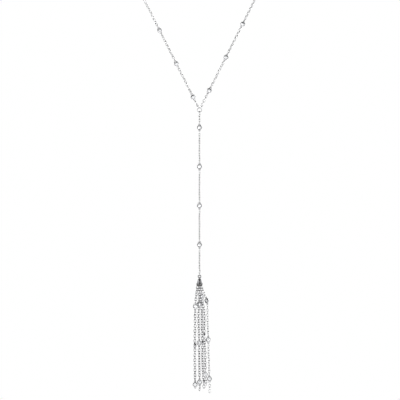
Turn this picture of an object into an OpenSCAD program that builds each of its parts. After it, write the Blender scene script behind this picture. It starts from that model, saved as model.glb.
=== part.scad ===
// Lariat necklace of fine cable chain with round stones in bezels at even steps.
// A neck loop meets a small ring, and a single drop hangs from the ring to a
// capped tassel of five short strands. Millimetres, +Z up, the front faces -Y,
// and the origin is the middle of the clasp at the nape.

/* [Chain] */
// Wire of a chain link
link_wire = 0.34; // [0.3:0.01:0.36]
// Outside length of a chain link
link_length = 2.41; // [2.3:0.01:2.6]
// Outside width of a chain link
link_width = 1.5; // [1.44:0.01:1.6]
// Clear gap between pieces that hang in each other
gap = 0.11; // [0.1:0.01:0.12]
// Degrees that the links midway between bezels are turned out of a plain row
link_twist = 45; // [0:5:60]
// Width of the plain stretches of chain, across their links
plain_width = 1.4; // [1.2:0.05:1.45]

/* [Stations] */
// Outside width of a bezel
bezel_width = 3.1; // [3.08:0.01:3.2]
// Depth of a bezel from its lip to its open back
bezel_depth = 1.4; // [1.35:0.01:1.5]
// Width of a stone at its girdle
stone_width = 2.4; // [2.3:0.01:2.42]
// Height of a stone's crown
crown_height = 0.36; // [0.33:0.01:0.38]
// Depth of a stone's pavilion
pavilion_depth = 0.93; // [0.88:0.01:0.95]
// Outside width of the eyes soldered to bezels, cap and clasp
eye_width = 1.45; // [1.42:0.01:1.5]
// Wire of those eyes
eye_wire = 0.36; // [0.32:0.01:0.37]
// Links from one bezel to the next
links_between = 13; // [11:2:15]

/* [Neck loop] */
// Whole length of the neck loop, along its chain and through its clasp
neck_length = 457; // [450:1:480]
// Bezels on each side of the neck loop
neck_stations = 8; // [6:1:8]
// Bezels on each side that hang from open links, below the plain stretches
front_stations = 4; // [3:1:5]
// Links from the ring to the first bezel on the left
left_lead = 4; // [3:1:8]
// Links from the ring to the first bezel on the right
right_lead = 7; // [3:1:8]
// Width of the closed barrel clasp
clasp_width = 2.6; // [2.2:0.1:3]
// Length of the barrel clasp without its eyes
clasp_length = 7; // [6:0.5:9]

/* [Drop] */
// Outside width of the ring where the loop and the drop meet
ring_width = 3.2; // [3.1:0.05:3.4]
// Wire of that ring and of the tassel ring
ring_wire = 0.4; // [0.36:0.01:0.42]
// Links from the ring to the first bezel of the drop
drop_lead = 5; // [3:1:8]
// Bezels on the drop
drop_stations = 4; // [3:1:5]
// Links from the last bezel of the drop to the tassel ring
drop_tail = 11; // [5:1:14]

/* [Tassel] */
// Outside width of the ring that carries the tassel
tassel_ring_width = 2.2; // [2.15:0.01:2.4]
// Width of the cap at its rim
cap_width = 4.1; // [3.8:0.05:4.2]
// Width of the cap at its shoulder
cap_shoulder_width = 2.3; // [2:0.05:2.6]
// Height of the cap from its rim to its top
cap_height = 4.1; // [3.8:0.1:4.6]
// Height of the band round the cap's rim
cap_band_height = 0.8; // [0.6:0.1:1]
// Distance of the five strands from the cap's middle
strand_circle = 1.3; // [1.26:0.01:1.36]
// Bezels on each strand
strand_stations = 3; // [2:1:3]

/* [Hidden] */
// Half the length over which a route's direction is taken, the length by which a
// hollow runs past a face, and the depth to which an eye is sunk in its wall
NEAR = 0.05;
BEYOND = 1;
SUNK = 0.03;
// Links at each end of a row over which its twist grows
TWIST_LINKS = 3;
// Steps round a wire, mains of a stone, sides of a plain stretch, the length of
// its steps, and the steps between two places of a route
FINE = 32;
FACETS = 8;
TUBE_SIDES = 8;
RING_STEP = 6;
SPLINE_STEPS = 8;
HALF_FACET = 180 / FACETS;

link_bend = (link_width - link_wire) / 2;
link_straight = link_length - link_width;
link_half = (link_length - link_wire) / 2;
link_pitch = link_length - 2 * link_wire - gap;

eye_bend = (eye_width - eye_wire) / 2;
eye_hole = eye_bend - eye_wire / 2;
// An eye is sunk into its wall up to its hole
eye_offset = eye_hole - SUNK;
// From the wall that carries an eye to the middle of the link in the eye
eye_reach = eye_offset + eye_hole - gap - link_wire / 2 + link_half;
// From that wall to just past the eye, where a plain stretch begins
eye_end = eye_offset + eye_width / 2 + gap;

station_reach = bezel_width / 2 + eye_reach;
station_end = bezel_width / 2 + eye_end;
station_pitch = 2 * station_reach + (links_between - 1) * link_pitch;

// Heights in a bezel, from the middle of its eyes towards its face
back_share = 0.6;
bezel_back = -back_share * bezel_depth;
bezel_front = bezel_back + bezel_depth;
girdle_level = bezel_front - crown_height;
// Clearances of a stone: beside its girdle, above and below it, and over its crown
bore_gap = 1.1 * gap;
girdle_gap = 0.8 * gap;
lip_gap = 2.2 * gap;
// Reach of the lip over the stone, and the bevels of the lip and the cap
lip_reach = 0.07;
lip_bevel = 0.05;
edge_bevel = 0.1;
// Shares of the bezel's width at its foot, and of the stone's at the open back
foot_share = 0.84;
open_share = 0.71;

// Half the girdle's edge, and the corners of a stone's facets as shares of its
// width: table, crown corners and pavilion corners
girdle_half = 0.03;
table_share = 0.55;
crown_share = 0.82;
lower_share = 0.3;

ring_bend = (ring_width - ring_wire) / 2;
// From the middle of the ring's wire to the middle of a link that hangs in it
ring_hold = link_half - ring_wire / 2 - gap - link_wire / 2;
tassel_bend = (tassel_ring_width - ring_wire) / 2;
tassel_hole = tassel_bend - ring_wire / 2;

clasp_bevel = clasp_width / 5;
clasp_seam = clasp_width / 20;

// Route of one side of the neck loop from the ring to the nape: across, back,
// up, and the way that the stones face, as degrees turned out from the front.
// The first row is the ring's middle, and the last only sets the direction at
// the end.
NECK_ROUTE = [
    [0, 0, 0, 0],
    [12, 7.6, 24, 0],
    [24, 15.6, 48, 0],
    [36, 23.6, 72, 0],
    [46, 32.6, 93, 15],
    [52, 48, 108, 45],
    [53, 66, 118, 80],
    [46, 84, 124, 115],
    [34, 97, 127, 145],
    [18, 105, 128, 165],
    [0, 108, 128, 180],
    [-18, 105, 128, 195]
];

// Routes of the strands from below the cap: across, back and up from its rim.
// The first place of each strand is worked out, round the cap, and the last
// row only sets the direction at the end.
ROUTE_A = [[-2.1, 0.3, -7], [-2.7, 0.3, -13], [-2.9, 0.3, -27], [-3.1, 0.3, -38],
    [-3, 0.3, -53], [-2.8, 0.3, -68], [-2.8, 0.3, -84], [-2.8, 0.3, -98], [-2.8, 0.3, -110]];
ROUTE_B = [[-0.1, -1.9, -4], [-0.3, -2.2, -12], [-0.6, -2.2, -21], [-0.3, -2.2, -34],
    [-0.2, -2.2, -47], [0, -2.2, -60], [0.1, -2.2, -70], [0.1, -2.2, -84], [0.1, -2.2, -98],
    [0.1, -2.2, -110]];
ROUTE_C = [[1.3, -0.6, -5], [2, -0.5, -11], [3.1, -0.5, -19], [3.1, -0.5, -32],
    [3.7, -0.5, -45], [3.8, -0.5, -58], [4.6, -0.5, -67], [4.8, -0.5, -72], [4.8, -0.5, -84],
    [4.8, -0.5, -98], [4.8, -0.5, -110]];
ROUTE_D = [[0.3, 2.2, -6], [1.4, 2.4, -16], [1.5, 2.4, -26], [1.9, 2.4, -37],
    [2, 2.4, -52], [2.8, 2.4, -64], [3, 2.4, -70], [3.1, 2.4, -84], [3.1, 2.4, -98],
    [3.1, 2.4, -110]];
ROUTE_E = [[2.3, 0.6, -3.5], [4.1, 0.6, -8.5], [5, 0.6, -13], [5.4, 0.6, -26],
    [5.8, 0.6, -39], [6.2, 0.6, -53], [6.6, 0.6, -66], [6.6, 0.6, -74], [6.6, 0.6, -84],
    [6.6, 0.6, -98], [6.6, 0.6, -110]];

// One row for each strand: its name, its place round the cap in degrees, the
// links above its first bezel and below its last, the turn of each bezel from
// the front, and its route
NAME = 0;
PLACE = 1;
LEAD = 2;
TAIL = 3;
TURNS = 4;
ROUTE = 5;
STRANDS = [
    ["a", 170, 7, 0, [10, 80, 0], ROUTE_A],
    ["b", 242, 6, 2, [40, 0, 0], ROUTE_B],
    ["c", 314, 3, 3, [25, 90, 0], ROUTE_C],
    ["d", 98, 6, 1, [90, 90, 90], ROUTE_D],
    ["e", 26, 5, 5, [50, 10, 0], ROUTE_E]
];

function unit(v) = v / norm(v);
function at_table(table, s) = [for (axis = [0:len(table) - 1]) lookup(s, table[axis])];
function place(table, s) = let (row = at_table(table, s)) [row[0], row[1], row[2]];

// Catmull-Rom curve from point i to point i + 1
function before(points, i) = i == 0 ? 2 * points[0] - points[1] : points[i - 1];
function curve(points, i, t) =
    let (a = before(points, i), b = points[i], c = points[i + 1], d = points[i + 2])
    0.5 * (2 * b + (c - a) * t + (2 * a - 5 * b + 4 * c - d) * t * t
        + (3 * b - a - 3 * c + d) * t * t * t);
function samples(points) = [
    for (i = [0:len(points) - 3], step = [0:SPLINE_STEPS - 1])
        curve(points, i, step / SPLINE_STEPS),
    points[len(points) - 2]
];
function first_three(row) = [row[0], row[1], row[2]];
function lengths(rows) = [
    for (i = 0, s = 0; i < len(rows);
        i = i + 1,
        s = i < len(rows) ? s + norm(first_three(rows[i] - rows[i - 1])) : s)
        s
];
// A route as one table for each column, all by the length along the curve
function tables(rows) =
    let (s = lengths(rows))
    [for (axis = [0:len(rows[0]) - 1]) [for (i = [0:len(rows) - 1]) [s[i], rows[i][axis]]]];

// The neck loop's route, drawn to the necklace's own length. It starts in the
// ring's wire, where the first link hangs.
raw_lengths = lengths(samples(NECK_ROUTE));
loop_scale = neck_length / 2 / raw_lengths[len(raw_lengths) - 1];
leg_angle = atan2(NECK_ROUTE[1][0], NECK_ROUTE[1][2]);
neck_places = concat(
    [[ring_bend * sin(leg_angle), 0, ring_bend * cos(leg_angle), 0]],
    [for (i = [1:len(NECK_ROUTE) - 1])
        let (row = NECK_ROUTE[i])
        [loop_scale * row[0], loop_scale * row[1], loop_scale * row[2], row[3]]]
);
neck_samples = samples(neck_places);
side_lengths = lengths(neck_samples);
side_length = side_lengths[len(side_lengths) - 1];
nape = first_three(neck_places[len(neck_places) - 2]);
function neck_rows(side) = [
    for (row = neck_samples)
        [side * row[0], row[1] - nape[1], row[2] - nape[2], side * row[3]]
];
LEFT = -1;
RIGHT = 1;
left_table = tables(neck_rows(LEFT));
right_table = tables(neck_rows(RIGHT));
junction = [0, -nape[1], -nape[2]];

// Heights down the drop
drop_start = ring_bend + ring_hold;
drop_first = drop_start + (drop_lead - 1) * link_pitch + station_reach;
drop_last = drop_first + (drop_stations - 1) * station_pitch;
drop_end = drop_last + station_reach + (drop_tail - 1) * link_pitch;
tassel_ring_level = drop_end + link_half - link_wire / 2 - gap + tassel_hole;
cap_eye_level = tassel_ring_level + tassel_hole - gap - eye_wire / 2 + eye_bend;
cap_top_level = cap_eye_level + eye_offset;
cap_rim_level = cap_top_level + cap_height;
drop_table = tables([
    [0, junction[1], junction[2], 0],
    [0, junction[1], junction[2] - drop_end - link_length, 0]
]);

// Route of one strand, from its eye under the cap
rim = junction - [0, 0, cap_rim_level];
function strand_start(strand) =
    strand_circle * [cos(strand[PLACE]), sin(strand[PLACE]), 0];
function strand_table(strand) = tables(samples([
    for (p = concat([strand_start(strand)], strand[ROUTE]))
        [rim[0] + p[0], rim[1] + p[1], rim[2] + p[2], 0]
]));

// Frame on a route: Z runs along the chain, and -Y looks the way the stones face
function frame(table, s) =
    let (
        t = unit(place(table, s + NEAR) - place(table, s - NEAR)),
        angle = at_table(table, s)[3],
        face = [sin(angle), -cos(angle), 0],
        back = unit((face * t) * t - face),
        across = cross(back, t),
        p = place(table, s)
    )
    [
        [across[0], back[0], t[0], p[0]],
        [across[1], back[1], t[1], p[1]],
        [across[2], back[2], t[2], p[2]],
        [0, 0, 0, 1]
    ];

module on_route(table, s, turn = 0) {
    multmatrix(frame(table, s))
        rotate([0, 0, turn])
            children();
}

// Turn from each link to the next, near a right angle, so that a row of links
// runs from an eye turned one way to an eye turned another
function turn_step(count, change) =
    (change + 180 * round(((count + 1) * 90 - change) / 180)) / (count + 1);

module link() {
    for (up = [90, -90])
        translate([0, 0, sign(up) * link_straight / 2])
            rotate([up, 0, 0])
                rotate_extrude(angle = 180, $fn = FINE)
                    translate([link_bend, 0])
                        circle(d = link_wire, $fn = FINE);
    for (side = [-1, 1])
        translate([side * link_bend, 0, 0])
            cylinder(h = link_straight, d = link_wire, center = true, $fn = FINE);
}

// A row of links on a route from the middle of its first link, with a twist that
// is gone at the eyes at its ends
module link_row(table, s, count, from_turn, to_turn, twist = 0) {
    step = turn_step(count, to_turn - from_turn);
    for (i = [0:count - 1])
        let (eased = twist * min(1, (i + 1) / TWIST_LINKS, (count - i) / TWIST_LINKS))
        on_route(table, s + i * link_pitch, from_turn + (i + 1) * step + eased)
            link();
}

module wire_ring(bend, wire) {
    rotate([90, 0, 0])
        rotate_extrude($fn = 2 * FINE)
            translate([bend, 0])
                circle(d = wire, $fn = FINE);
}

// The stone's outline at its girdle, and its facets' corners between
function ring_points(radius, level, count, turn) = [
    for (i = [0:count - 1])
        let (angle = i * 360 / count + turn)
        [radius * cos(angle), radius * sin(angle), level]
];

// Round brilliant: an eight sided table, star, kite and girdle facets above,
// and mains and lower girdle facets below
module stone() {
    radius = stone_width / 2;
    table_radius = radius * table_share;
    crown_radius = radius * crown_share;
    lower_radius = radius * lower_share;
    crown_level = girdle_half + (crown_height - girdle_half)
        * (radius - crown_radius * cos(HALF_FACET)) / (radius - table_radius);
    lower_level = -girdle_half - pavilion_depth * (1 - lower_radius * cos(HALF_FACET) / radius);
    points = concat(
        ring_points(table_radius, crown_height, FACETS, 0),
        ring_points(crown_radius, crown_level, FACETS, HALF_FACET),
        ring_points(radius, girdle_half, 2 * FACETS, 0),
        ring_points(radius, -girdle_half, 2 * FACETS, 0),
        ring_points(lower_radius, lower_level, FACETS, HALF_FACET),
        [[0, 0, -girdle_half - pavilion_depth]]
    );
    crown = FACETS;
    upper = 2 * FACETS;
    lower = 4 * FACETS;
    pavilion = 6 * FACETS;
    culet = 7 * FACETS;
    faces = concat(
        [[for (i = [0:FACETS - 1]) FACETS - 1 - i]],
        [for (i = [0:FACETS - 1])
            let (next = (i + 1) % FACETS, back = (i + FACETS - 1) % FACETS,
                main = 2 * i, half = 2 * i + 1, over = (2 * i + 2) % (2 * FACETS))
            each [
                [i, next, crown + i],
                [i, crown + i, upper + main],
                [i, upper + main, crown + back],
                [crown + i, upper + half, upper + main],
                [crown + i, upper + over, upper + half],
                [upper + main, upper + half, lower + half, lower + main],
                [upper + half, upper + over, lower + over, lower + half],
                [pavilion + i, lower + main, lower + half],
                [pavilion + i, lower + half, lower + over],
                [culet, lower + main, pavilion + i],
                [culet, pavilion + back, lower + main]
            ]
        ]
    );
    rotate([90, 0, 0])
        translate([0, 0, girdle_level])
            polyhedron(points, faces, convexity = 2);
}

// Walls of the hollow in a bezel: lip, bore, seat and open back
module bezel_hollow() {
    radius = stone_width / 2;
    bore = radius + bore_gap;
    lip = radius - lip_reach;
    back_hole = open_share * radius;
    slope = pavilion_depth / radius;
    seat_top = girdle_level - girdle_gap;
    seat_end = seat_top - (bore - back_hole) * slope;
    rotate_extrude($fn = 2 * FINE)
        polygon([
            [0, bezel_back - BEYOND],
            [back_hole, bezel_back - BEYOND],
            [back_hole, seat_end],
            [bore, seat_top],
            [bore, girdle_level + girdle_gap],
            [lip, girdle_level + lip_gap],
            [lip + lip_bevel, bezel_front],
            [lip + lip_bevel, bezel_front + BEYOND],
            [0, bezel_front + BEYOND]
        ]);
}

// One bezel cup with its two soldered eyes
module bezel() {
    radius = bezel_width / 2;
    rotate([90, 0, 0])
        difference() {
            union() {
                rotate_extrude($fn = 2 * FINE)
                    polygon([
                        [0, bezel_back],
                        [foot_share * radius, bezel_back],
                        [radius, -eye_wire],
                        [radius, bezel_front - edge_bevel],
                        [radius - edge_bevel, bezel_front],
                        [0, bezel_front]
                    ]);
                for (side = [-1, 1])
                    translate([0, side * (radius + eye_offset), 0])
                        rotate_extrude($fn = 2 * FINE)
                            translate([eye_bend, 0])
                                circle(d = eye_wire, $fn = FINE);
            }
            bezel_hollow();
        }
}

// A plain stretch of chain between two lengths along a route
function tube_ring(table, s) =
    let (m = frame(table, s), r = plain_width / 2)
    [for (i = [0:TUBE_SIDES - 1])
        let (angle = (i + 0.5) * 360 / TUBE_SIDES)
        [for (axis = [0:2]) m[axis][3] + r * (m[axis][0] * cos(angle) + m[axis][1] * sin(angle))]];

module tube(table, s_from, s_to) {
    count = max(1, ceil((s_to - s_from) / RING_STEP));
    points = [for (i = [0:count]) each tube_ring(table, s_from + (s_to - s_from) * i / count)];
    sides = [for (i = [0:count - 1], j = [0:TUBE_SIDES - 1])
        let (a = i * TUBE_SIDES + j, b = i * TUBE_SIDES + (j + 1) % TUBE_SIDES)
        each [[a, a + TUBE_SIDES, b], [b, a + TUBE_SIDES, b + TUBE_SIDES]]];
    ends = [
        [for (j = [0:TUBE_SIDES - 1]) j],
        [for (j = [0:TUBE_SIDES - 1]) (count + 1) * TUBE_SIDES - 1 - j]
    ];
    polyhedron(points, concat(sides, ends), convexity = 4);
}

// Lengths along each chain to its bezels
function neck_station(lead, i) =
    ring_hold + (lead - 1) * link_pitch + station_reach + i * station_pitch;
function drop_station(i) = drop_first + i * station_pitch;
function strand_station(strand, i) =
    eye_reach + (strand[LEAD] - 1) * link_pitch + station_reach + i * station_pitch;

// Open links of one side, from the ring to the last of the front bezels
module neck_links(table, lead) {
    link_row(table, ring_hold, lead, 0, 0);
    for (i = [0:front_stations - 2])
        link_row(table, neck_station(lead, i) + station_reach, links_between, 0, 0, link_twist);
}

// Plain stretches of one side, from the front bezels to the clasp
module nape_tubes(table, lead) {
    for (i = [front_stations - 1:neck_stations - 2])
        tube(table, neck_station(lead, i) + station_end, neck_station(lead, i + 1) - station_end);
    tube(table, neck_station(lead, neck_stations - 1) + station_end,
        side_length - clasp_length / 2 - eye_end);
}

module neck_bezels(table, lead) {
    for (i = [0:neck_stations - 1])
        on_route(table, neck_station(lead, i))
            bezel();
}

module neck_chain_left() {
    color("silver") neck_links(left_table, left_lead);
}

module neck_chain_right() {
    color("silver") neck_links(right_table, right_lead);
}

module nape_chain_left() {
    color("silver") nape_tubes(left_table, left_lead);
}

module nape_chain_right() {
    color("silver") nape_tubes(right_table, right_lead);
}

module neck_bezels_left() {
    color("gainsboro") neck_bezels(left_table, left_lead);
}

module neck_bezels_right() {
    color("gainsboro") neck_bezels(right_table, right_lead);
}

module clasp() {
    half = clasp_length / 2;
    radius = clasp_width / 2;
    color("silver") {
        rotate([0, 90, 0])
            rotate_extrude($fn = 2 * FINE)
                polygon([
                    [0, -half],
                    [radius - clasp_bevel, -half],
                    [radius, -half + clasp_bevel],
                    [radius, -clasp_seam],
                    [radius - clasp_seam, 0],
                    [radius, clasp_seam],
                    [radius, half - clasp_bevel],
                    [radius - clasp_bevel, half],
                    [0, half]
                ]);
        for (side = [-1, 1])
            translate([side * (half + eye_offset), 0, 0])
                wire_ring(eye_bend, eye_wire);
    }
}

module junction_ring() {
    color("silver")
        translate(junction)
            wire_ring(ring_bend, ring_wire);
}

module drop_chain() {
    color("silver") {
        link_row(drop_table, drop_start, drop_lead, 0, 0, link_twist);
        for (i = [0:drop_stations - 2])
            link_row(drop_table, drop_station(i) + station_reach, links_between, 0, 0, link_twist);
        link_row(drop_table, drop_last + station_reach, drop_tail, 0, 0, link_twist);
    }
}

module drop_bezels() {
    color("gainsboro")
        for (i = [0:drop_stations - 1])
            on_route(drop_table, drop_station(i))
                bezel();
}

module tassel_ring() {
    color("silver")
        translate(junction - [0, 0, tassel_ring_level])
            wire_ring(tassel_bend, ring_wire);
}

// Flared cap with an eye on top and five eyes under its rim
module tassel_cap() {
    color("gainsboro")
        translate(rim) {
            rotate_extrude($fn = 2 * FINE)
                polygon([
                    [0, 0],
                    [cap_width / 2, 0],
                    [cap_width / 2, cap_band_height],
                    [cap_width / 2 - edge_bevel, cap_band_height],
                    [cap_width / 2 - 2 * edge_bevel, cap_band_height + 2 * edge_bevel],
                    [cap_shoulder_width / 2, cap_height - 2 * eye_wire],
                    [cap_shoulder_width / 2 - 2 * edge_bevel, cap_height - eye_wire],
                    [eye_wire, cap_height],
                    [0, cap_height]
                ]);
            translate([0, 0, cap_height + eye_offset])
                rotate([0, 0, 90])
                    wire_ring(eye_bend, eye_wire);
            for (strand = STRANDS)
                translate(strand_start(strand) - [0, 0, eye_offset])
                    rotate([0, 0, strand[PLACE] + 90])
                        wire_ring(eye_bend, eye_wire);
        }
}

// One strand's plain stretches, between its cap, its bezels and its free end
module strand_chain(strand) {
    table = strand_table(strand);
    color("silver") {
        tube(table, eye_end, strand_station(strand, 0) - station_end);
        for (i = [0:strand_stations - 2])
            tube(table, strand_station(strand, i) + station_end,
                strand_station(strand, i + 1) - station_end);
        if (strand[TAIL] > 0)
            let (last = strand_station(strand, strand_stations - 1))
            tube(table, last + station_end,
                last + station_reach + (strand[TAIL] - 1) * link_pitch + link_length / 2);
    }
}

module strand_bezels(strand) {
    table = strand_table(strand);
    color("gainsboro")
        for (i = [0:strand_stations - 1])
            on_route(table, strand_station(strand, i), strand[TURNS][i])
                bezel();
}

module set_stone(table, s, turn = 0) {
    color("aliceblue")
        on_route(table, s, turn)
            stone();
}

junction_ring();
neck_chain_left();
neck_chain_right();
nape_chain_left();
nape_chain_right();
clasp();
drop_chain();
tassel_ring();
tassel_cap();
neck_bezels_left();
neck_bezels_right();
drop_bezels();
for (strand = STRANDS) {
    strand_chain(strand);
    strand_bezels(strand);
}
for (i = [1:neck_stations]) {
    set_stone(left_table, neck_station(left_lead, i - 1));
    set_stone(right_table, neck_station(right_lead, i - 1));
}
for (i = [1:drop_stations])
    set_stone(drop_table, drop_station(i - 1));
for (strand = STRANDS, i = [1:strand_stations])
    set_stone(strand_table(strand), strand_station(strand, i - 1), strand[TURNS][i - 1]);
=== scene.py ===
import math

import bpy
import numpy as np
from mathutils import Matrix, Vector


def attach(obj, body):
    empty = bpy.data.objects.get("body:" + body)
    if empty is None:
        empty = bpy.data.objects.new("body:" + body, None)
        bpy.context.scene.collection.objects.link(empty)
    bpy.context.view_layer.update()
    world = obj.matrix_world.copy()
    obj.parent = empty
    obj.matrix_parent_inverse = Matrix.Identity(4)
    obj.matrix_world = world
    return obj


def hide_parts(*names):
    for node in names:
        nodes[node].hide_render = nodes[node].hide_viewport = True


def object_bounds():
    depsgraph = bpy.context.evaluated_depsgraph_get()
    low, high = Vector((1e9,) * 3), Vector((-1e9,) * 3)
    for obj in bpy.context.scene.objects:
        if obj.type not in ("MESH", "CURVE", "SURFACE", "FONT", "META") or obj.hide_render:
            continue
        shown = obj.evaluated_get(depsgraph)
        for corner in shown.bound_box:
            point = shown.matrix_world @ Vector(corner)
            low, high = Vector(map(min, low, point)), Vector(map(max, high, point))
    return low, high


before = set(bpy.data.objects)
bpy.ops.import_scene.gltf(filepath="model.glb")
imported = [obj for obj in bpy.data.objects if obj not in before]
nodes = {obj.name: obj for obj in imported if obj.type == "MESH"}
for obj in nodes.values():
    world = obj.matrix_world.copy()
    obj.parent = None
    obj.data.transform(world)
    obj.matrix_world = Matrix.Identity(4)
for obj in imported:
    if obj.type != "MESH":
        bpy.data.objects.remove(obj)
cad_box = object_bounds()

# Sizes in millimetres, as in the part's source
MM = 0.001
LINK_WIRE = 0.34
LINK_LENGTH = 2.41
LINK_WIDTH = 1.5
GAP = 0.11
LINK_TWIST = 45
TWIST_LINKS = 3
STRAND_WIRE = 0.38
STRAND_WIDTH = 1.8
BEZEL_WIDTH = 3.1
EYE_WIDTH = 1.45
EYE_WIRE = 0.36
SUNK = 0.03
LINKS_BETWEEN = 13
NECK_LENGTH = 457
NECK_STATIONS = 8
FRONT_STATIONS = 4
LEFT_LEAD = 4
RIGHT_LEAD = 7
CLASP_LENGTH = 7
RING_WIDTH = 3.2
RING_WIRE = 0.4
DROP_LEAD = 5
DROP_STATIONS = 4
DROP_TAIL = 11
TASSEL_RING_WIDTH = 2.2
CAP_HEIGHT = 4.1
STRAND_CIRCLE = 1.3
STRAND_STATIONS = 3
# Reach of the curve that gives a direction, and steps of a curve between two points
NEAR = 0.05
SPLINE_STEPS = 8
# Where painted shade starts to fade and where it is gone: over the cap's rim, and round a place
# where two links of the drop meet
RIM_BAND = (0.5, 1.15)
DROP_SPOT = (0.25, 0.6)
# Steps round a link's wire and along each of its bends
LINK_SIDES = 10
BEND_STEPS = 10

# Points of the curves: right, back, up, and the degrees that the stones face outward
NECK_ROUTE = [
    [0, 0, 0, 0],
    [12, 7.6, 24, 0],
    [24, 15.6, 48, 0],
    [36, 23.6, 72, 0],
    [46, 32.6, 93, 15],
    [52, 48, 108, 45],
    [53, 66, 118, 80],
    [46, 84, 124, 115],
    [34, 97, 127, 145],
    [18, 105, 128, 165],
    [0, 108, 128, 180],
    [-18, 105, 128, 195],
]
ROUTE_A = [[-2.1, 0.3, -7], [-2.7, 0.3, -13], [-2.9, 0.3, -27], [-3.1, 0.3, -38],
           [-3, 0.3, -53], [-2.8, 0.3, -68], [-2.8, 0.3, -84], [-2.8, 0.3, -98], [-2.8, 0.3, -110]]
ROUTE_B = [[-0.1, -1.9, -4], [-0.3, -2.2, -12], [-0.6, -2.2, -21], [-0.3, -2.2, -34],
           [-0.2, -2.2, -47], [0, -2.2, -60], [0.1, -2.2, -70], [0.1, -2.2, -84], [0.1, -2.2, -98],
           [0.1, -2.2, -110]]
ROUTE_C = [[1.3, -0.6, -5], [2, -0.5, -11], [3.1, -0.5, -19], [3.1, -0.5, -32],
           [3.7, -0.5, -45], [3.8, -0.5, -58], [4.6, -0.5, -67], [4.8, -0.5, -72], [4.8, -0.5, -84],
           [4.8, -0.5, -98], [4.8, -0.5, -110]]
ROUTE_D = [[0.3, 2.2, -6], [1.4, 2.4, -16], [1.5, 2.4, -26], [1.9, 2.4, -37],
           [2, 2.4, -52], [2.8, 2.4, -64], [3, 2.4, -70], [3.1, 2.4, -84], [3.1, 2.4, -98],
           [3.1, 2.4, -110]]
ROUTE_E = [[2.3, 0.6, -3.5], [4.1, 0.6, -8.5], [5, 0.6, -13], [5.4, 0.6, -26],
           [5.8, 0.6, -39], [6.2, 0.6, -53], [6.6, 0.6, -66], [6.6, 0.6, -74], [6.6, 0.6, -84],
           [6.6, 0.6, -98], [6.6, 0.6, -110]]
# Name, place round the cap, links above and below, turn of each bezel, route
STRANDS = [
    ("a", 170, 7, 0, (10, 80, 0), ROUTE_A),
    ("b", 242, 6, 2, (40, 0, 0), ROUTE_B),
    ("c", 314, 3, 3, (25, 90, 0), ROUTE_C),
    ("d", 98, 6, 1, (90, 90, 90), ROUTE_D),
    ("e", 26, 5, 5, (50, 10, 0), ROUTE_E),
]

link_half = (LINK_LENGTH - LINK_WIRE) / 2
link_pitch = LINK_LENGTH - 2 * LINK_WIRE - GAP
eye_bend = (EYE_WIDTH - EYE_WIRE) / 2
eye_hole = eye_bend - EYE_WIRE / 2
eye_offset = eye_hole - SUNK
eye_reach = eye_offset + eye_hole - GAP - LINK_WIRE / 2 + link_half
station_reach = BEZEL_WIDTH / 2 + eye_reach
station_pitch = 2 * station_reach + (LINKS_BETWEEN - 1) * link_pitch
ring_bend = (RING_WIDTH - RING_WIRE) / 2
ring_hold = link_half - RING_WIRE / 2 - GAP - LINK_WIRE / 2
tassel_hole = (TASSEL_RING_WIDTH - RING_WIRE) / 2 - RING_WIRE / 2


def samples(points):
    """Catmull-Rom curve through the points; the last only sets the direction."""
    p = np.array(points, float)
    p = np.vstack([2 * p[0] - p[1], p])
    out = []
    for i in range(len(p) - 3):
        a, b, c, d = p[i:i + 4]
        for step in range(SPLINE_STEPS):
            t = step / SPLINE_STEPS
            out.append(0.5 * (2 * b + (c - a) * t + (2 * a - 5 * b + 4 * c - d) * t * t
                              + (3 * b - a - 3 * c + d) * t * t * t))
    out.append(p[-2])
    return np.array(out)


class Route:
    """Places, and the way the stones face, by the length along a chain."""

    def __init__(self, rows):
        self.rows = np.array(rows, float)
        steps = np.linalg.norm(np.diff(self.rows[:, :3], axis=0), axis=1)
        self.s = np.concatenate([[0], np.cumsum(steps)])

    def row(self, s):
        return np.array([np.interp(s, self.s, column) for column in self.rows.T])

    def matrix(self, s, turn=0.0):
        """Z runs along the chain and -Y looks the way the stones face."""
        row = self.row(s)
        t = self.row(s + NEAR)[:3] - self.row(s - NEAR)[:3]
        t /= np.linalg.norm(t)
        angle = math.radians(row[3])
        face = np.array([math.sin(angle), -math.cos(angle), 0])
        back = face.dot(t) * t - face
        back /= np.linalg.norm(back)
        across = np.cross(back, t)
        c, n = math.cos(math.radians(turn)), math.sin(math.radians(turn))
        return np.column_stack([c * across + n * back, c * back - n * across, t]), row[:3]


loop_scale = NECK_LENGTH / 2 / Route(samples(NECK_ROUTE)).s[-1]
leg_angle = math.atan2(NECK_ROUTE[1][0], NECK_ROUTE[1][2])
neck_places = [[ring_bend * math.sin(leg_angle), 0, ring_bend * math.cos(leg_angle), 0]]
for x, y, z, turn in NECK_ROUTE[1:]:
    neck_places.append([loop_scale * x, loop_scale * y, loop_scale * z, turn])
nape = neck_places[-2]
neck_samples = samples(neck_places)
junction = np.array([0, -nape[1], -nape[2]])


def neck_route(side):
    return Route([[side * x, y - nape[1], z - nape[2], side * turn] for x, y, z, turn in neck_samples])


def neck_station(lead, i):
    return ring_hold + (lead - 1) * link_pitch + station_reach + i * station_pitch


drop_first = ring_bend + ring_hold + (DROP_LEAD - 1) * link_pitch + station_reach
drop_last = drop_first + (DROP_STATIONS - 1) * station_pitch
drop_end = drop_last + station_reach + (DROP_TAIL - 1) * link_pitch
tassel_ring_level = drop_end + link_half - LINK_WIRE / 2 - GAP + tassel_hole
cap_eye_level = tassel_ring_level + tassel_hole - GAP - EYE_WIRE / 2 + eye_bend
rim = junction - np.array([0, 0, cap_eye_level + eye_offset + CAP_HEIGHT])

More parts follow.
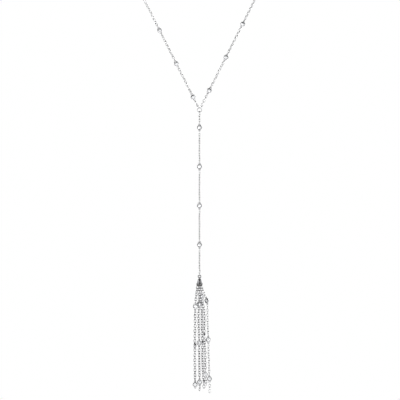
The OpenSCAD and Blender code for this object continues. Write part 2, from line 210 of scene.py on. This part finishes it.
# Camera: the photograph's 400 px frame at 0.651 mm a pixel, seen level from the front
FRAME_WIDTH = 400 * 0.651
DISTANCE = 5000
CAMERA_RIGHT = 0.33
CAMERA_BELOW = 58.6
camera_data = bpy.data.cameras.new("camera")
camera_data.sensor_width = 36
camera_data.lens = camera_data.sensor_width * DISTANCE / FRAME_WIDTH
camera_data.clip_start = 0.1
camera_data.clip_end = 50
camera = bpy.data.objects.new("camera", camera_data)
bpy.context.scene.collection.objects.link(camera)
camera.location = Vector((CAMERA_RIGHT, junction[1] - DISTANCE, junction[2] - CAMERA_BELOW)) * MM
camera.rotation_euler = (math.radians(90), 0, 0)
bpy.context.scene.camera = camera


# Grain of the metals, in waves a metre
TONE_GRAIN = 900
HAZE_GRAIN = 2600
MARK_GRAIN = 3800
MARK_STRENGTH = 0.35


def new_material(name):
    material = bpy.data.materials.new(name)
    material.use_nodes = True
    tree = material.node_tree
    shader = tree.nodes["Principled BSDF"]
    return material, tree, shader


def noise(tree, scale, detail, roughness=0.5):
    """Noise in the object's own metres."""
    place = tree.nodes.new("ShaderNodeTexCoord")
    texture = tree.nodes.new("ShaderNodeTexNoise")
    texture.inputs["Scale"].default_value = scale
    texture.inputs["Detail"].default_value = detail
    texture.inputs["Roughness"].default_value = roughness
    tree.links.new(place.outputs["Object"], texture.inputs["Vector"])
    return texture.outputs["Fac"]


def ramp(tree, value, low, high):
    """Colours or greys from low to high where the noise runs from 0.3 to 0.7."""
    node = tree.nodes.new("ShaderNodeValToRGB")
    node.color_ramp.elements[0].position = 0.3
    node.color_ramp.elements[1].position = 0.7
    node.color_ramp.elements[0].color = (*low, 1)
    node.color_ramp.elements[1].color = (*high, 1)
    tree.links.new(value, node.inputs["Fac"])
    return node.outputs["Color"]


def math_node(tree, operation, *values):
    """A math node on sockets and numbers."""
    node = tree.nodes.new("ShaderNodeMath")
    node.operation = operation
    for i, value in enumerate(values):
        if isinstance(value, float):
            node.inputs[i].default_value = value
        else:
            tree.links.new(value, node.inputs[i])
    return node.outputs["Value"]


def place_axes(tree):
    """The object's own place as three numbers, in metres."""
    place = tree.nodes.new("ShaderNodeTexCoord")
    axes = tree.nodes.new("ShaderNodeSeparateXYZ")
    tree.links.new(place.outputs["Object"], axes.inputs["Vector"])
    return axes.outputs["X"], axes.outputs["Y"], axes.outputs["Z"]


def fade(tree, value, full, gone):
    """Runs from 1 at the first length to 0 at the second, in millimetres."""
    node = tree.nodes.new("ShaderNodeMapRange")
    node.inputs["From Min"].default_value = full * MM
    node.inputs["From Max"].default_value = gone * MM
    node.inputs["To Min"].default_value = 1.0
    node.inputs["To Max"].default_value = 0.0
    tree.links.new(value, node.inputs["Value"])
    return node.outputs["Result"]


def link_painted_shade(tree):
    """How far each point of a link carries painted shade."""
    mark = tree.nodes.new("ShaderNodeAttribute")
    mark.attribute_name = "painted_shade"
    return mark.outputs["Fac"]


def rim_painted_shade(tree):
    """A band of painted shade round the rim of the cap, by height."""
    return fade(tree, place_axes(tree)[2], rim[2] + RIM_BAND[0], rim[2] + RIM_BAND[1])


def drop_painted_shade(tree):
    """Painted shade round each place where two links of the drop rest on each other."""
    x, y, z = place_axes(tree)
    fallen = math_node(tree, "SUBTRACT", (junction[2] - drop_first) * MM, z)
    past_bezel = math_node(tree, "FLOORED_MODULO", fallen, station_pitch * MM)
    past_meeting = math_node(tree, "SUBTRACT", past_bezel, (station_reach - link_pitch / 2) * MM)
    links = math_node(tree, "DIVIDE", past_meeting, link_pitch * MM)
    along = math_node(tree, "MULTIPLY", math_node(tree, "PINGPONG", links, 0.5), link_pitch * MM)
    behind = math_node(tree, "SUBTRACT", y, junction[1] * MM)
    away = tree.nodes.new("ShaderNodeCombineXYZ")
    for value, axis in ((x, "X"), (behind, "Y"), (along, "Z")):
        tree.links.new(value, away.inputs[axis])
    length = tree.nodes.new("ShaderNodeVectorMath")
    length.operation = "LENGTH"
    tree.links.new(away.outputs["Vector"], length.inputs[0])
    return fade(tree, length.outputs["Value"], DROP_SPOT[0], DROP_SPOT[1])


def metal(name, dark, light, smooth, worn, dent, painted_shade_colour=None, where=None):
    """White metal from dark to light and from smooth to worn, with soft tool marks dent deep.

    The colour of painted shade lies where the last function says.
    """
    material, tree, shader = new_material(name)
    shader.inputs["Metallic"].default_value = 1.0
    tone = ramp(tree, noise(tree, TONE_GRAIN, 4), dark, light)
    # Painted shade mixed over the metal's tone where the last function says
    if where is not None:
        mix = tree.nodes.new("ShaderNodeMix")
        mix.data_type = "RGBA"
        mix.inputs["B"].default_value = (*painted_shade_colour, 1)
        tree.links.new(where(tree), mix.inputs["Factor"])
        tree.links.new(tone, mix.inputs["A"])
        tone = mix.outputs["Result"]
    tree.links.new(tone, shader.inputs["Base Color"])
    haze = ramp(tree, noise(tree, HAZE_GRAIN, 6, 0.6), (smooth,) * 3, (worn,) * 3)
    tree.links.new(haze, shader.inputs["Roughness"])
    bump = tree.nodes.new("ShaderNodeBump")
    bump.inputs["Strength"].default_value = MARK_STRENGTH
    bump.inputs["Distance"].default_value = dent * MM
    tree.links.new(noise(tree, MARK_GRAIN, 3), bump.inputs["Height"])
    tree.links.new(bump.outputs["Normal"], shader.inputs["Normal"])
    return material


chain_metal = metal("chain_metal", (0.94, 0.94, 0.95), (0.98, 0.98, 0.98), 0.1, 0.22, 0.02)
# The drop's dark spots where its links meet are painted shade
drop_metal = metal("drop_metal", (0.97, 0.97, 0.97), (0.99, 0.99, 0.99), 0.06, 0.16, 0.02,
                   (0.2, 0.2, 0.2), drop_painted_shade)
# The strands' metal is darker overall as painted shade, with more painted shade on the inner side of each
# link's bends
strand_metal = metal("strand_metal", (0.74, 0.74, 0.75), (0.8, 0.8, 0.81), 0.15, 0.3, 0.02,
                     (0.3, 0.3, 0.3), link_painted_shade)
# Painted shade on the inner side of each link's bends
fine_metal = metal("fine_metal", (0.95, 0.95, 0.96), (0.98, 0.98, 0.98), 0.06, 0.16, 0.02,
                   (0.5, 0.5, 0.5), link_painted_shade)
setting_metal = metal("setting_metal", (0.7, 0.7, 0.71), (0.78, 0.78, 0.79), 0.3, 0.42, 0.015)
brushed_metal = metal("brushed_metal", (0.88, 0.88, 0.89), (0.94, 0.94, 0.95), 0.5, 0.6, 0.015)
# A band of painted shade round the cap's rim
cap_metal = metal("cap_metal", (0.56, 0.56, 0.57), (0.64, 0.64, 0.65), 0.35, 0.5, 0.015,
                  (0.4, 0.4, 0.4), rim_painted_shade)
ring_metal = metal("ring_metal", (0.2, 0.2, 0.21), (0.3, 0.3, 0.31), 0.25, 0.4, 0.015)


def stone_material():
    """Clear cut stone with a faint cloud of growth lines."""
    material, tree, shader = new_material("stone")
    shader.inputs["Roughness"].default_value = 0.0
    shader.inputs["IOR"].default_value = 1.6
    shader.inputs["Transmission Weight"].default_value = 1.0
    tree.links.new(ramp(tree, noise(tree, 1400, 2), (0.95, 0.965, 0.98), (1, 1, 1)),
                   shader.inputs["Base Color"])
    return material


stone = stone_material()


def link_mesh(wire, width):
    """A link as a closed tube round a stadium, of the chain's own pitch and gap.

    The last array says how far each point carries painted shade: fully on the inner side of the bends.
    """
    bend = (width - wire) / 2
    straight = link_pitch + 2 * wire + GAP - width
    path = []
    for end, start in ((1, 0), (-1, 180)):
        for i in range(BEND_STEPS + 1):
            a = math.radians(start + 180 * i / BEND_STEPS)
            out = np.array([math.cos(a), 0, math.sin(a)])
            path.append((bend * out + [0, 0, end * straight / 2], out, min(1, 2 * abs(math.sin(a)))))
    verts = []
    painted_shade = []
    for middle, out, bent in path:
        for j in range(LINK_SIDES):
            b = 2 * math.pi * j / LINK_SIDES
            verts.append(middle + wire / 2 * (math.cos(b) * out + [0, math.sin(b), 0]))
            painted_shade.append(bent * min(1, max(0, 0.5 - 0.9 * math.cos(b))))
    faces = []
    for i in range(len(path)):
        here = i * LINK_SIDES
        there = (i + 1) % len(path) * LINK_SIDES
        for j in range(LINK_SIDES):
            m = (j + 1) % LINK_SIDES
            faces.append((here + j, here + m, there + m, there + j))
    return np.array(verts), np.array(faces), np.array(painted_shade)


def link_row(route, s, count, from_turn=0.0, to_turn=0.0, pitch=link_pitch, twist=0.0):
    """Places of a row of links from the middle of its first, with a twist that is gone at its ends."""
    change = to_turn - from_turn
    step = (change + 180 * math.floor(((count + 1) * 90 - change) / 180 + 0.5)) / (count + 1)
    places = []
    for i in range(count):
        eased = twist * min(1, (i + 1) / TWIST_LINKS, (count - i) / TWIST_LINKS)
        places.append(route.matrix(s + i * pitch, from_turn + (i + 1) * step + eased))
    return places


def link_chain(name, places, node, finish, wire=LINK_WIRE, width=LINK_WIDTH):
    """All the links of one chain as one piece, in place of the plain stretches."""
    link_verts, link_faces, painted_shade = link_mesh(wire, width)
    verts = np.concatenate([link_verts @ turn.T + place for turn, place in places]) * MM
    faces = np.concatenate([link_faces + i * len(link_verts) for i in range(len(places))])
    mesh = bpy.data.meshes.new(name)
    mesh.from_pydata(verts.tolist(), [], faces.tolist())
    mesh.shade_smooth()
    # Painted shade, point by point, on the inner side of the bends
    marks = mesh.attributes.new("painted_shade", "FLOAT", "POINT")
    marks.data.foreach_set("value", np.tile(painted_shade, len(places)))
    mesh.materials.append(finish)
    piece = bpy.data.objects.new(name, mesh)
    bpy.context.scene.collection.objects.link(piece)
    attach(piece, "root")
    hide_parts(node)
    return piece


def nape_links(route, lead):
    places = []
    for i in range(FRONT_STATIONS - 1, NECK_STATIONS - 1):
        places += link_row(route, neck_station(lead, i) + station_reach, LINKS_BETWEEN, twist=LINK_TWIST)
    start = neck_station(lead, NECK_STATIONS - 1) + station_reach
    length = route.s[-1] - CLASP_LENGTH / 2 - eye_reach - start
    count = round(length / link_pitch) + 1
    return places + link_row(route, start, count, pitch=length / (count - 1))


def strand_links(place, lead, tail, turns, points):
    angle = math.radians(place)
    start = [STRAND_CIRCLE * math.cos(angle), STRAND_CIRCLE * math.sin(angle), 0]
    rows = samples([start] + points) + rim
    route = Route(np.column_stack([rows, np.zeros(len(rows))]))
    first = eye_reach + (lead - 1) * link_pitch + station_reach
    places = link_row(route, eye_reach, lead, -(place + 90), turns[0])
    for i in range(STRAND_STATIONS - 1):
        places += link_row(route, first + i * station_pitch + station_reach, LINKS_BETWEEN,
                           turns[i], turns[i + 1], twist=LINK_TWIST)
    last = first + (STRAND_STATIONS - 1) * station_pitch
    return places + link_row(route, last + station_reach, tail, turns[-1], turns[-1])


link_chain("nape_links_left", nape_links(neck_route(-1), LEFT_LEAD), "nape_chain_left", chain_metal)
link_chain("nape_links_right", nape_links(neck_route(1), RIGHT_LEAD), "nape_chain_right", chain_metal)
for name, place, lead, tail, turns, points in STRANDS:
    look = (strand_metal, STRAND_WIRE, STRAND_WIDTH)
    if name == "e":
        # The outermost strand on the right shows the drop's finer links
        look = (fine_metal, LINK_WIRE, LINK_WIDTH)
    links = strand_links(place, lead, tail, turns, points)
    link_chain(f"strand_{name}_links", links, f"strand_{name}", *look)

# Materials of the nodes that stay
FINISHES = {
    "clasp": brushed_metal,
    "neck_bezels_left": brushed_metal,
    "neck_bezels_right": brushed_metal,
    "strand_c_bezels": brushed_metal,
    "strand_d_bezels": brushed_metal,
    "junction_ring": setting_metal,
    "tassel_cap": cap_metal,
    "tassel_ring": ring_metal,
    "drop_chain": drop_metal,
}
for name, node in nodes.items():
    if "_stone_" in name:
        finish = stone
    elif "bezels" in name:
        finish = FINISHES.get(name, setting_metal)
    else:
        finish = FINISHES.get(name, chain_metal)
    node.data.materials.clear()
    node.data.materials.append(finish)

# Floor, in millimetres below the tassel's end and half its width in metres
FLOOR_BELOW = 150
FLOOR_HALF = 3.0
floor_level = cad_box[0][2] - FLOOR_BELOW * MM
floor_mesh = bpy.data.meshes.new("floor")
corners = [(x * FLOOR_HALF, y * FLOOR_HALF, floor_level) for x, y in ((-1, -1), (1, -1), (1, 1), (-1, 1))]
floor_mesh.from_pydata(corners, [], [(0, 1, 2, 3)])
floor = bpy.data.objects.new("floor", floor_mesh)
bpy.context.scene.collection.objects.link(floor)
floor_material, floor_tree, floor_shader = new_material("floor")
floor_shader.inputs["Roughness"].default_value = 0.7
floor_tree.links.new(ramp(floor_tree, noise(floor_tree, 3, 3), (0.9, 0.9, 0.9), (0.93, 0.93, 0.93)),
                     floor_shader.inputs["Base Color"])
floor_mesh.materials.append(floor_material)

# Soft studio light: a white backdrop, two soft boxes, and a dark room with a bright wall round a
# dark middle on either side, which the metal mirrors
world = bpy.data.worlds.new("world")
bpy.context.scene.world = world
world.use_nodes = True
sky = world.node_tree
background = sky.nodes["Background"]
background.inputs["Strength"].default_value = 1.0
heading = sky.nodes.new("ShaderNodeTexCoord")
split = sky.nodes.new("ShaderNodeSeparateXYZ")
sky.links.new(heading.outputs["Generated"], split.inputs["Vector"])


def room_part(value, steps):
    """Brightness of the room by how far a direction points one way."""
    node = sky.nodes.new("ShaderNodeValToRGB")
    elements = node.color_ramp.elements
    for i, (position, grey) in enumerate(steps):
        element = elements[i] if i < 2 else elements.new(position)
        element.position = position
        element.color = (grey, grey, grey, 1)
    sky.links.new(value, node.inputs["Fac"])
    return node.outputs["Color"]


sideways = room_part(math_node(sky, "ABSOLUTE", split.outputs["X"]),
                     ((0.2, 0.0), (0.4, 1.4), (0.93, 1.4), (0.99, 0.0)))
level = room_part(math_node(sky, "ABSOLUTE", split.outputs["Z"]), ((0.4, 1.0), (0.6, 0.0)))
room = math_node(sky, "MULTIPLY", sideways, level)
seen = sky.nodes.new("ShaderNodeLightPath")
clear = math_node(sky, "MAXIMUM", seen.outputs["Is Camera Ray"], seen.outputs["Is Transmission Ray"])
clear = math_node(sky, "MAXIMUM", clear, seen.outputs["Is Diffuse Ray"])
sky.links.new(math_node(sky, "MAXIMUM", room, clear), background.inputs["Color"])


def soft_box(name, place, size, power):
    light = bpy.data.lights.new(name, "AREA")
    light.shape = "SQUARE"
    light.size = size
    light.energy = power
    holder = bpy.data.objects.new(name, light)
    holder.location = place
    target = Vector((0, junction[1] * MM, junction[2] * MM))
    holder.rotation_euler = (target - Vector(place)).to_track_quat("-Z", "Y").to_euler()
    bpy.context.scene.collection.objects.link(holder)


soft_box("key_light", (-0.9, -1.3, 0.9), 0.4, 3)
soft_box("back_light", (1.0, 1.2, 0.6), 0.4, 3)

# High key, as in the photograph
bpy.context.scene.view_settings.view_transform = "Standard"
bpy.context.scene.view_settings.gamma = 0.6
